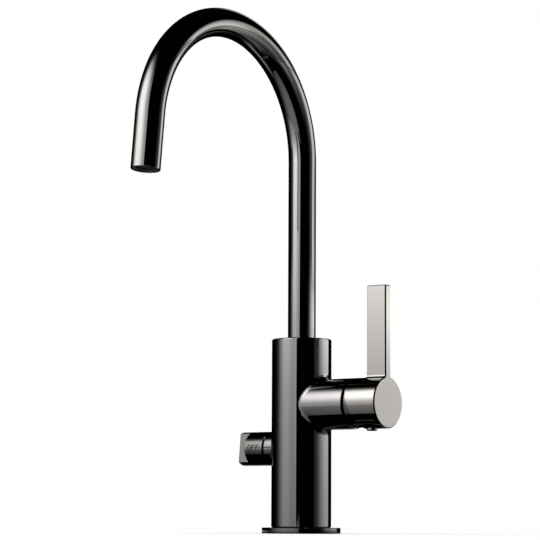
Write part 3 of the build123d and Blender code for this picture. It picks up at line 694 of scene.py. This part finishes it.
def spout_tree(sizes):
    """Geometry tree that bends a straight tube into riser, arch and outlet run."""
    tree, given = geometry_tree("spout_bend", sizes)
    riser, radius = given["Riser length"], given["Arch radius"]
    across, along, travel = point_axes(tree)
    beyond = travel - riser
    arch_length = radius * given["Arch angle"]
    turn = beyond.apply("MAXIMUM", 0.0).apply("MINIMUM", arch_length) / radius
    run = (beyond - arch_length).apply("MAXIMUM", 0.0)
    rise = travel.apply("MINIMUM", riser)
    cosine, sine = turn.apply("COSINE"), turn.apply("SINE")
    reach = radius + along
    forward = reach * cosine - radius - run * sine
    upward = reach * sine + run * cosine + rise + given["Foot height"]
    end_tree(move_points(given["Geometry"], across, forward, upward), given)
    return tree


def outlet_matrix(sizes):
    """Place and tilt of the outlet's end face, with z pointing out of the tube."""
    turn = sizes.arch_angle
    out = Vector((0.0, -sin(turn), cos(turn)))
    centre = Vector((0.0, sizes.arch_radius * (cos(turn) - 1.0), 0.0))
    centre.z = spout_low.z + sizes.riser_length + sizes.arch_radius * sin(turn)
    centre += out * sizes.outlet_run
    side = Vector(SIDEWAYS)
    turned = Matrix((side, out.cross(side), out)).transposed().to_4x4()
    return Matrix.Translation(centre) @ turned


def screen_tree(sizes):
    """Geometry tree of a round screen woven from wires in two directions."""
    tree, given = geometry_tree("woven_screen", sizes)
    radius, pitch, wire = given["Screen radius"], given["Pitch"], given["Wire radius"]
    ends = {"Start": (-1.0, 0.0, 0.0), "End": (1.0, 0.0, 0.0)}
    line = made(tree, "GeometryNodeCurvePrimitiveLine", ends)
    fine = made(tree, "GeometryNodeResampleCurve", {"Curve": line, "Count": WIRE_POINTS})
    half_count = (radius / pitch).apply("FLOOR")
    spacing = {
        "Count": half_count * 2.0 + 1.0,
        "Start Location": joined(tree, 0.0, half_count * pitch * -1.0, 0.0),
        "Offset": joined(tree, 0.0, pitch, 0.0),
    }
    row = made(tree, "GeometryNodeMeshLine", spacing, mode="OFFSET")
    straight = real_geometry(on_points(row, fine))
    share_along, aside, _ = point_axes(tree)
    half_length = (radius * radius - aside * aside).apply("MAXIMUM", 0.0).apply("SQRT")
    along = share_along * half_length
    wave = ((along + aside) / pitch * pi).apply("COSINE")
    woven = move_points(straight, along, aside, wave * wire)
    warp = wire_along(woven, wire, WIRE_SIDES)
    turned = {"Geometry": warp, "Rotation": (pi, 0.0, pi / 2)}
    weft = made(tree, "GeometryNodeTransform", turned)
    rim = wire_along(curve_circle(radius, RIM_POINTS), given["Rim radius"], RIM_SIDES)
    screen = tree.nodes.new("GeometryNodeJoinGeometry")
    for shape in (warp, weft, rim):
        shape.into(screen.inputs["Geometry"])
    end_tree(Field(screen), given)
    return tree


def thread_tree(sizes):
    """Geometry tree that sets a thread in the bore at each given point."""
    tree, given = geometry_tree("bore_threads", sizes)
    bore, depth = given["Bore radius"], given["Thread length"]
    spiral_sizes = {
        "Resolution": THREAD_POINTS,
        "Start Radius": bore,
        "End Radius": bore,
        "Height": depth,
        "Rotations": depth / given["Pitch"],
    }
    spiral = made(tree, "GeometryNodeCurveSpiral", spiral_sizes)
    ridge = wire_along(spiral, given["Thread height"], THREAD_SIDES)
    end_tree(on_points(given["Geometry"], ridge), given)
    return tree


def wrap_tree(sizes):
    """Geometry tree that lays a flat marking on the front of a cylinder along X."""
    tree, given = geometry_tree("marking_wrap", sizes)
    across, lift, upward = point_axes(tree)
    arc = upward / given["Cylinder radius"]
    reach = given["Cylinder radius"] + lift
    depth = reach * arc.apply("COSINE") * -1.0
    height = reach * arc.apply("SINE") + given["Axis height"]
    end_tree(move_points(given["Geometry"], across, depth, height), given)
    return tree


def stroke(points, faces, ring, closed):
    """Adds a flat stroke along a row of cross lines, each from its inner to its outer point."""
    start = len(points)
    for (x_in, z_in), (x_out, z_out) in ring:
        points += [(x_in, INK_BELOW, z_in), (x_out, INK_BELOW, z_out)]
        points += [(x_out, INK_ABOVE, z_out), (x_in, INK_ABOVE, z_in)]
    rows = [start + step * INK_CORNERS for step in range(len(ring))]
    for row, after in zip(rows, rows[1:] + (rows[:1] if closed else [])):
        faces += band(row, after, INK_CORNERS)
    if not closed:
        faces.append([rows[0] + corner for corner in reversed(range(INK_CORNERS))])
        faces.append([rows[-1] + corner for corner in range(INK_CORNERS)])


def straight_stroke(points, faces, start, end, width):
    """Straight stroke between two points of the marking."""
    first, last = Vector(start), Vector(end)
    side = (last - first).orthogonal().normalized() * width / 2
    steps = max(2, int((last - first).length / INK_STEP))
    middles = [first.lerp(last, amount) for amount in even_steps(0.0, 1.0, steps)]
    ring = [(tuple(middle - side), tuple(middle + side)) for middle in middles]
    stroke(points, faces, ring, False)


def letter_o(points, faces, left, middle, width, height, weight):
    """Round letter as a closed oval stroke."""
    ring = []
    for across, up, _ in circle(1.0, 0.0, ROUND_LETTER_STEPS):
        sides = []
        for inset in (weight, 0.0):
            reach = left + width / 2 + (width / 2 - inset) * across
            sides.append((reach, middle + (height / 2 - inset) * up))
        ring.append(sides)
    stroke(points, faces, ring, True)


def letter_f(points, faces, left, middle, width, height, weight):
    """Upright letter with two arms."""
    low, high = middle - height / 2, middle + height / 2
    stem = left + weight / 2
    top = high - weight / 2
    bar = middle + weight * BAR_RISE
    straight_stroke(points, faces, (stem, low), (stem, high), weight)
    straight_stroke(points, faces, (left + weight, top), (left + width, top), weight)
    straight_stroke(points, faces, (left + weight, bar), (left + width * BAR_LENGTH, bar), weight)


def disc(name, radius, height):
    """Flat round sheet facing up."""
    points = [(0.0, 0.0, height), *circle(radius, height, DISC_SIDES)]
    faces = [(0, 1 + step, 1 + (step + 1) % DISC_SIDES) for step in range(DISC_SIDES)]
    return add_object(name, new_mesh(name, points, faces))


def glow(tree, strength, colour=WHITE):
    """Emission of one colour whose strength is a field or a number."""
    return made(tree, "ShaderNodeEmission", {"Color": (*colour, 1.0), "Strength": strength})


def both(first, second):
    """Sum of two shaders."""
    return made(first.tree, "ShaderNodeAddShader", {0: first, 1: second})


def seen_rays(tree):
    """One for rays from the camera and for rays in metal or glass."""
    path = tree.nodes.new("ShaderNodeLightPath")
    seen = Field(path, "Is Camera Ray").apply("MAXIMUM", Field(path, "Is Glossy Ray"))
    return seen.apply("MAXIMUM", Field(path, "Is Transmission Ray"))


def floor_material():
    """White floor that keeps a soft shadow; far from the tap it glows a little more."""
    material, tree, surface = new_material("studio_floor")
    diffuse = made(tree, "ShaderNodeBsdfDiffuse", {"Color": (*scaled(WHITE, FLOOR_WHITE), 1.0)})
    reach = distance_of(coordinates(tree, "Object"))
    level = reach.ease(FLOOR_NEAR, FLOOR_FAR, FLOOR_GLOW_NEAR, FLOOR_GLOW_FAR)
    both(diffuse, glow(tree, seen_rays(tree) * level)).into(surface)
    return material


def studio_world():
    """White background for seen rays, and a slightly dimmer light for the rest."""
    world = bpy.data.worlds.new("studio_world")
    world.use_nodes = True
    tree = world.node_tree
    tree.nodes.clear()
    strength = seen_rays(tree) * (1.0 - WORLD_LIGHT) + WORLD_LIGHT
    background = made(tree, "ShaderNodeBackground", {"Color": (*WHITE, 1.0), "Strength": strength})
    background.into(tree.nodes.new("ShaderNodeOutputWorld").inputs["Surface"])
    bpy.context.scene.world = world


def new_panel_material(name):
    """Material of a panel; returns it, its surface input, and a point's sideways place and height."""
    material, tree, surface = new_material(name)
    side, height, _ = axes(coordinates(tree, "UV"))
    return material, surface, side, height


def front_panel_material():
    """Large soft light ahead of the tap: a warm centre in a wide sheet that fades outwards."""
    material, surface, side, height = new_panel_material("studio_front_light")
    widening = height.ease(0.15, 0.6, -0.05, 0.07)
    edge = (side - widening).ease(0.75, 0.80, 1.0, 0.0)
    sheet = side.ease(-0.80, 0.02, 0.25, 1.0) ** 3.2
    falling = side.ease(0.08, 0.42, 1.0, 0.74)
    rim = side.ease(0.5, 0.7, 0.0, 0.12)
    level = height.ease(-0.08, 0.31, 0.17, 0.37)
    top = height.ease(0.7, 1.45, 1.0, 0.02)
    notch = height.window(0.3, 0.06, 0.45, 0.05) * 0.65 * side.ease(-0.24, -0.11, 1.0, 0.0)
    kept = (1.0 - notch) * SHEET_LIGHT
    sheet = sheet * (falling + rim) * level * top * edge * kept
    rise = height.ease(0.12, 0.55, 0.0, 0.66)
    fall = height.ease(0.68, 1.25, 1.0, 0.0)
    centre = side.window(-0.21, 0.42, 0.39, 0.50) * rise * fall * kept
    cool_glow = glow(side.tree, sheet, (1.0, 0.98, 0.995))
    warm_glow = glow(side.tree, centre, (1.0, 0.975, 0.945))
    both(cool_glow, warm_glow).into(surface)
    return material


def rear_panel_material():
    """Smaller soft light behind the lever, fading to one side and downwards."""
    material, surface, side, height = new_panel_material("studio_rear_light")
    skirt = side.ease(-0.65, 0.02) ** 2.8 * height.ease(0.2, 0.28, 1.0, 0.18)
    core = side.ease(-0.14, -0.02) * height.ease(0.18, 0.28)
    fade = skirt.apply("MAXIMUM", core) + height.ease(0.1, 0.3, 0.04, 0.0)
    dimming = height.window(0.25, 0.1, 0.37, 0.08) * side.ease(-0.08, 0.1, 0.0, 0.6)
    edge_end = height.ease(0.3, 0.38, 0.16, 0.21)
    edge = side.ease(0.115, edge_end, 1.0, 0.0) * (1.0 - dimming)
    low_level = height.ease(0.0, 0.12, 0.25, 0.365)
    level = low_level + height.ease(0.12, 0.25, 0.0, 0.42) - height.ease(0.3, 0.42, 0.0, 0.26)
    top = height.ease(0.43, 0.55, 1.0, 0.0)
    light = fade * edge * level * top * SHEET_LIGHT
    glow(side.tree, light, (1.0, 0.985, 0.96)).into(surface)
    return material


def back_panel_material():
    """Wide faint light behind the tap, which the photograph's side doesn't mirror."""
    material, surface, side, height = new_panel_material("studio_back_light")
    light = side.window(-0.7, 0.3, -0.22, 0.2) * height.window(0.85, 0.3, 1.25, 0.3)
    glow(side.tree, light * BACK_LIGHT, (1.0, 0.985, 0.97)).into(surface)
    return material


def mat_material():
    """Dark sheet on the worktop that carries two fans of light and a faint patch behind the tap."""
    material, tree, surface = new_material("studio_dark_mat")
    place = coordinates(tree, "Object")
    across, along, _ = axes(place)
    azimuth = across.apply("ARCTAN2", along * -1.0).apply("DEGREES")
    distance = distance_of(place)
    outward = distance / (distance + MAT_FADE)
    front = azimuth.window(-45.0, 60.0, 27.0, 10.0) * along.ease(-0.098, -0.092, 1.0, 0.0)
    rear = azimuth.window(115.0, 50.0, 158.0, 12.0)
    back = azimuth.window(-150.0, 40.0, -75.0, 40.0) * distance.window(0.16, 0.06, 0.27, 0.1)
    light = (front * MAT_FRONT_LIGHT + rear * MAT_REAR_LIGHT) * outward + back * MAT_BACK_LIGHT
    glow(tree, light).into(surface)
    return material


def net_material():
    """Black net that lets part of the light through, and more of it towards its rear edge."""
    material, tree, surface = new_material("studio_black_net")
    _, along, _ = axes(coordinates(tree, "Object"))
    kept = along.ease(NET_REAR - NET_FADE, NET_REAR, 0.4, 0.8)
    black = glow(tree, 0.0)
    clear = made(tree, "ShaderNodeBsdfTransparent", {})
    made(tree, "ShaderNodeMixShader", {0: kept, 1: black, 2: clear}).into(surface)
    return material


def dark_cloth_material():
    """Black cloth of the studio's walls and roof."""
    material, tree, surface = new_material("studio_dark_cloth")
    glow(tree, CLOTH_LIGHT).into(surface)
    return material


def glossy_only(piece, material):
    """Gives a sheet of the studio its material; only reflections in metal see it."""
    piece.data.materials.append(material)
    for ray in ("camera", "diffuse", "transmission", "volume_scatter", "shadow"):
        setattr(piece, "visible_" + ray, False)


def black_net():
    """Level black net under the arch's crown, which shades its lower side from the rear light."""
    height = cad_high.z - NET_DROP
    left, right = NET_SIDES
    corners = ((left, NET_FRONT), (right, NET_FRONT), (right, NET_REAR), (left, NET_REAR))
    mesh = new_mesh("studio_black_net", [(*corner, height) for corner in corners], [(0, 1, 2, 3)])
    glossy_only(add_object("studio_black_net", mesh), net_material())


def dark_room(radius):
    """Half globe of black cloth around the set."""
    points = []
    faces = []
    for lift in even_steps(ROOM_LOWEST, 90.0, ROOM_RINGS):
        turn = radians(lift)
        points += circle(radius * cos(turn), radius * sin(turn), ROOM_SEGMENTS)
    for ring in range(ROOM_RINGS):
        faces += band((ring + 1) * ROOM_SEGMENTS, ring * ROOM_SEGMENTS, ROOM_SEGMENTS)
    room = add_object("studio_dark_cloth", new_mesh("studio_dark_cloth", points, faces))
    glossy_only(room, dark_cloth_material())


def light_panel(name, material, azimuth, distance, sides, height):
    """Upright sheet facing the tap, whose UV map holds its own metres."""
    turn = radians(azimuth)
    away = Vector((sin(turn), -cos(turn), 0.0))
    along = Vector((cos(turn), sin(turn), 0.0))
    left, right = sides
    corners = ((left, 0.0), (right, 0.0), (right, height), (left, height))
    points = [away * distance + along * side + Vector((0.0, 0.0, lift)) for side, lift in corners]
    panel = add_object(name, new_mesh(name, points, [(0, 1, 2, 3)]))
    places = panel.data.uv_layers.new(name="panel_metres")
    for corner, place in zip(places.data, corners):
        corner.uv = place
    glossy_only(panel, material)


def area_lamp(name, place, watts):
    """Square soft lamp that the plating doesn't mirror."""
    data = bpy.data.lights.new(name, "AREA")
    data.size = LAMP_SIZE
    data.energy = watts
    lamp = add_object(name, data)
    direction = LAMP_AIM - Vector(place)
    turn = direction.to_track_quat("-Z", "Y").to_matrix().to_4x4()
    lamp.matrix_world = Matrix.Translation(place) @ turn
    lamp.visible_glossy = False


def photo_camera(stage):
    """Camera that sees the tap as the photograph does."""
    turn = stage.camera_turn
    place = Vector((sin(turn), -cos(turn), 0.0)) * stage.camera_distance
    place.z = stage.camera_height
    heading = turn + stage.camera_yaw
    level = Vector((cos(heading), sin(heading), 0.0))
    ahead = Vector((-sin(heading), cos(heading), 0.0)) * cos(stage.camera_pitch)
    ahead.z = sin(stage.camera_pitch)
    above = level.cross(ahead)
    roll = stage.camera_roll
    right = level * cos(roll) + above * sin(roll)
    up = above * cos(roll) - level * sin(roll)
    view_axes = Matrix((right, up, -ahead)).transposed()
    data = bpy.data.cameras.new("photo_camera")
    data.lens = stage.camera_lens
    data.sensor_width = 36.0
    data.clip_start = 0.05
    data.clip_end = 50.0
    camera = add_object("photo_camera", data)
    camera.matrix_world = Matrix.Translation(place) @ view_axes.to_4x4()
    bpy.context.scene.camera = camera


class TAP_OT_effects(bpy.types.Operator):
    """Makes the effects that the materials share"""

    bl_idname = "tap.effects"
    bl_label = "Shared effects"

    def execute(self, context):
        make_haze_group()
        make_hairline_group()
        make_speck_group()
        make_grain_group()
        make_turning_group()
        return {"FINISHED"}


class TAP_OT_carried_parts(bpy.types.Operator):
    """Gives the carried-over pieces their materials"""

    bl_idname = "tap.carried_parts"
    bl_label = "Carried parts"

    def execute(self, context):
        tap = context.scene.tap_finish
        black, shell, rubber = tap.black_plastic_tone, tap.cartridge_tone, tap.rubber_tone
        brass = {"tones": tap.brass_tone, "dull": (0.52, 0.36, 0.17), "pitch": 0.25 * MM, "roughness": 0.22}
        steel = {"tones": tap.steel_tone, "dull": (0.42, 0.415, 0.41), "pitch": 0.2 * MM, "roughness": 0.2}
        wire = {"tones": tap.screen_tone, "dull": (0.045, 0.045, 0.044), "pitch": 0.2 * MM, "roughness": 0.45}
        aerator = {"worn": (0.04, 0.04, 0.04), "roughness": 0.32, "scale": 2600.0, "depth": 0.01 * MM}
        cartridge = {"worn": (0.66, 0.65, 0.6), "roughness": 0.36, "scale": 2200.0, "depth": 0.01 * MM}
        glide = {"worn": (0.03, 0.03, 0.032), "roughness": 0.3, "scale": 3000.0, "depth": 0.008 * MM}
        seal = {"worn": (0.03, 0.03, 0.03), "roughness": 0.55, "scale": 3800.0, "depth": 0.02 * MM}
        finishes = {
            "black_chrome": black_chrome("black_chrome_body", tap.chrome_tone, LINES_ALONG_Z),
            "brass": turned_metal("turned_brass_sideways", SIDEWAYS, **brass),
            "steel": turned_metal("turned_steel_sideways", SIDEWAYS, **steel),
            "aerator_screen": turned_metal("screen_steel", UPRIGHT, **wire),
            "aerator_plastic": moulded("aerator_plastic", black, **aerator),
            "cartridge_plastic": moulded("cartridge_plastic", shell, **cartridge),
            "glide_plastic": moulded("glide_plastic", black, **glide),
            "rubber": moulded("seal_rubber", rubber, **seal),
            "ceramic": lapped_ceramic("lapped_ceramic", tap.ceramic_tone),
        }
        for name in frame["nodes"]:
            dress(name, finishes[slot_of[name]])
        # Painted light: the lever and its screw cap get a lighter copy of the plating.
        lever = black_chrome("black_chrome_lever_lit", tap.lever_lit_tone, LINES_ALONG_X)
        dress("lever_handle", lever)
        dress("lever_screw_cap", lever)
        # Painted shade: the cover ring gets a darker copy of the plating.
        dress("lever_cover_ring", black_chrome("black_chrome_ring_shaded", tap.ring_shaded_tone, LINES_ALONG_X))
        # Painted shade: the valve knob gets a darker copy of the plating.
        dress("valve_knob", black_chrome("black_chrome_knob_shaded", tap.knob_shaded_tone, LINES_ALONG_X))
        dress("spout_foot", turned_metal("turned_brass", UPRIGHT, **brass))
        return {"FINISHED"}


class TAP_OT_spout_tube(bpy.types.Operator):
    """Bends the spout tube along its riser, arch and outlet run"""

    bl_idname = "tap.spout_tube"
    bl_label = "Spout tube"

    def execute(self, context):
        sizes = context.scene.tap_sizes
        values = {
            "Riser length": sizes.riser_length,
            "Arch radius": sizes.arch_radius,
            "Arch angle": sizes.arch_angle,
            "Foot height": spout_low.z,
        }
        outline, creases = spout_outline(sizes)
        draft = lathe("straight_spout", outline, creases, TUBE_SIDES)
        spout_tone = context.scene.tap_finish.spout_tone
        chrome = black_chrome("black_chrome_spout", spout_tone, LINES_ALONG_Z)
        tube = shape_by_tree("spout_bent_tube", draft, spout_tree(values), values, chrome)
        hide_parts("spout_tube")
        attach(tube, "spout")
        return {"FINISHED"}


class TAP_OT_aerator_screen(bpy.types.Operator):
    """Weaves the wire screen in the outlet"""

    bl_idname = "tap.aerator_screen"
    bl_label = "Aerator screen"

    def execute(self, context):
        sizes = context.scene.tap_sizes
        values = {
            "Screen radius": (screen_high.x - screen_low.x) / 2 - SCREEN_RIM,
            "Pitch": sizes.wire_pitch,
            "Wire radius": sizes.wire_radius,
            "Rim radius": SCREEN_RIM,
        }
        steel = bpy.data.materials["screen_steel"]
        outlet = outlet_matrix(sizes)
        depth = (outlet.inverted() @ ((screen_low + screen_high) / 2)).z
        place = outlet @ Matrix.Translation((0.0, 0.0, depth))
        draft = bpy.data.meshes.new("screen_draft")
        screen = shape_by_tree("aerator_wire_screen", draft, screen_tree(values), values, steel, place)
        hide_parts("aerator_screen")
        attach(screen, "spout")
        return {"FINISHED"}


class TAP_OT_underside_threads(bpy.types.Operator):
    """Sets raised brass threads in the four bores of the underside"""

    bl_idname = "tap.underside_threads"
    bl_label = "Underside threads"

    def execute(self, context):
        sizes = context.scene.tap_sizes
        brass = bpy.data.materials["turned_brass"]
        bores = [mount for mount in frame["record"]["mounts"] if mount["kind"] == "threaded_hole"]
        for radius in sorted({mount["dims"]["r_mm"] for mount in bores}):
            alike = [mount for mount in bores if mount["dims"]["r_mm"] == radius]
            values = {
                "Bore radius": radius * MM,
                "Thread length": alike[0]["dims"]["length_mm"] * MM * THREAD_SHARE,
                "Pitch": sizes.thread_pitch,
                "Thread height": sizes.thread_height,
            }
            lift = Vector((0.0, 0.0, THREAD_LIFT))
            draft = new_mesh("thread_points", [Vector(mount["pos_m"]) + lift for mount in alike], [])
            name = "inlet_threads" if len(alike) > 1 else "stud_thread"
            threads = shape_by_tree(name, draft, thread_tree(values), values, brass)
            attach(threads, "root")
        return {"FINISHED"}


class TAP_OT_valve_marking(bpy.types.Operator):
    """Marks the knob's closed position and the index line beside it"""

    bl_idname = "tap.valve_marking"
    bl_label = "Valve marking"

    def execute(self, context):
        sizes = context.scene.tap_sizes
        ink = marking_ink("valve_marking_ink", context.scene.tap_finish.ink_tone)
        values = {
            "Cylinder radius": (knob_high.z - knob_low.z) / 2,
            "Axis height": (knob_high.z + knob_low.z) / 2,
        }
        tree = wrap_tree(values)
        weight, height, rise = sizes.letter_stroke, sizes.letter_height, sizes.mark_rise
        width = sizes.letter_pitch - weight * LETTER_GAP
        left = -sizes.letter_start
        points, faces = [], []
        letter_o(points, faces, left, rise, width * ROUND_LETTER_WIDTH, height, weight)
        for place in (1, 2):
            letter_f(points, faces, left + sizes.letter_pitch * place, rise, width, height, weight)
        letters = new_mesh("off_letters_flat", points, faces)
        word = shape_by_tree("off_letters", letters, tree, values, ink)
        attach(word, "valve_knob")
        points, faces = [], []
        straight_stroke(points, faces, (-sizes.index_start, rise), (-sizes.index_end, rise), weight)
        strip = new_mesh("index_flat", points, faces)
        index = shape_by_tree("valve_index_line", strip, tree, values, ink)
        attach(index, "root")
        return {"FINISHED"}


class TAP_OT_stage(bpy.types.Operator):
    """Makes the floor, what the metal reflects, the lamps and the camera"""

    bl_idname = "tap.stage"
    bl_label = "Studio"

    def execute(self, context):
        stage = context.scene.tap_stage
        floor = disc("studio_floor", stage.floor_radius, 0.0)
        floor.data.materials.append(floor_material())
        mat = disc("studio_dark_mat", stage.room_radius * MAT_PAST_ROOM, MAT_LIFT)
        glossy_only(mat, mat_material())
        dark_room(stage.room_radius)
        black_net()
        light_panel("studio_front_light", front_panel_material(), **FRONT_PANEL)
        light_panel("studio_rear_light", rear_panel_material(), **REAR_PANEL)
        light_panel("studio_back_light", back_panel_material(), **BACK_PANEL)
        studio_world()
        area_lamp("studio_key", KEY_PLACE, stage.key_power)
        area_lamp("studio_fill", FILL_PLACE, stage.fill_power)
        photo_camera(stage)
        context.scene.view_settings.view_transform = "Standard"
        return {"FINISHED"}


class TAP_PT_panel(bpy.types.Panel):
    """Lists the tap's operators"""

    bl_idname = "TAP_PT_panel"
    bl_label = "Kitchen Mixer Tap"
    bl_space_type = "VIEW_3D"
    bl_region_type = "UI"
    bl_category = "Mixer Tap"

    def draw(self, context):
        for operator in operators:
            self.layout.operator(operator.bl_idname)


operators = (
    TAP_OT_effects,
    TAP_OT_carried_parts,
    TAP_OT_spout_tube,
    TAP_OT_aerator_screen,
    TAP_OT_underside_threads,
    TAP_OT_valve_marking,
    TAP_OT_stage,
)
settings = {
    "tap_finish": TapFinishSettings,
    "tap_sizes": TapSizeSettings,
    "tap_stage": TapStageSettings,
}
classes = (*settings.values(), *operators, TAP_PT_panel)


def register():
    """Adds the settings, operators and panel."""
    for item in classes:
        bpy.utils.register_class(item)
    for name, group in settings.items():
        setattr(bpy.types.Scene, name, PointerProperty(type=group))


def unregister():
    """Removes them again."""
    for name in settings:
        delattr(bpy.types.Scene, name)
    for item in reversed(classes):
        bpy.utils.unregister_class(item)


def main():
    """Makes the whole scene."""
    register()
    bpy.ops.tap.effects()
    bpy.ops.tap.carried_parts()
    bpy.ops.tap.spout_tube()
    bpy.ops.tap.aerator_screen()
    bpy.ops.tap.underside_threads()
    bpy.ops.tap.valve_marking()
    bpy.ops.tap.stage()


if __name__ == "__main__":
    main()
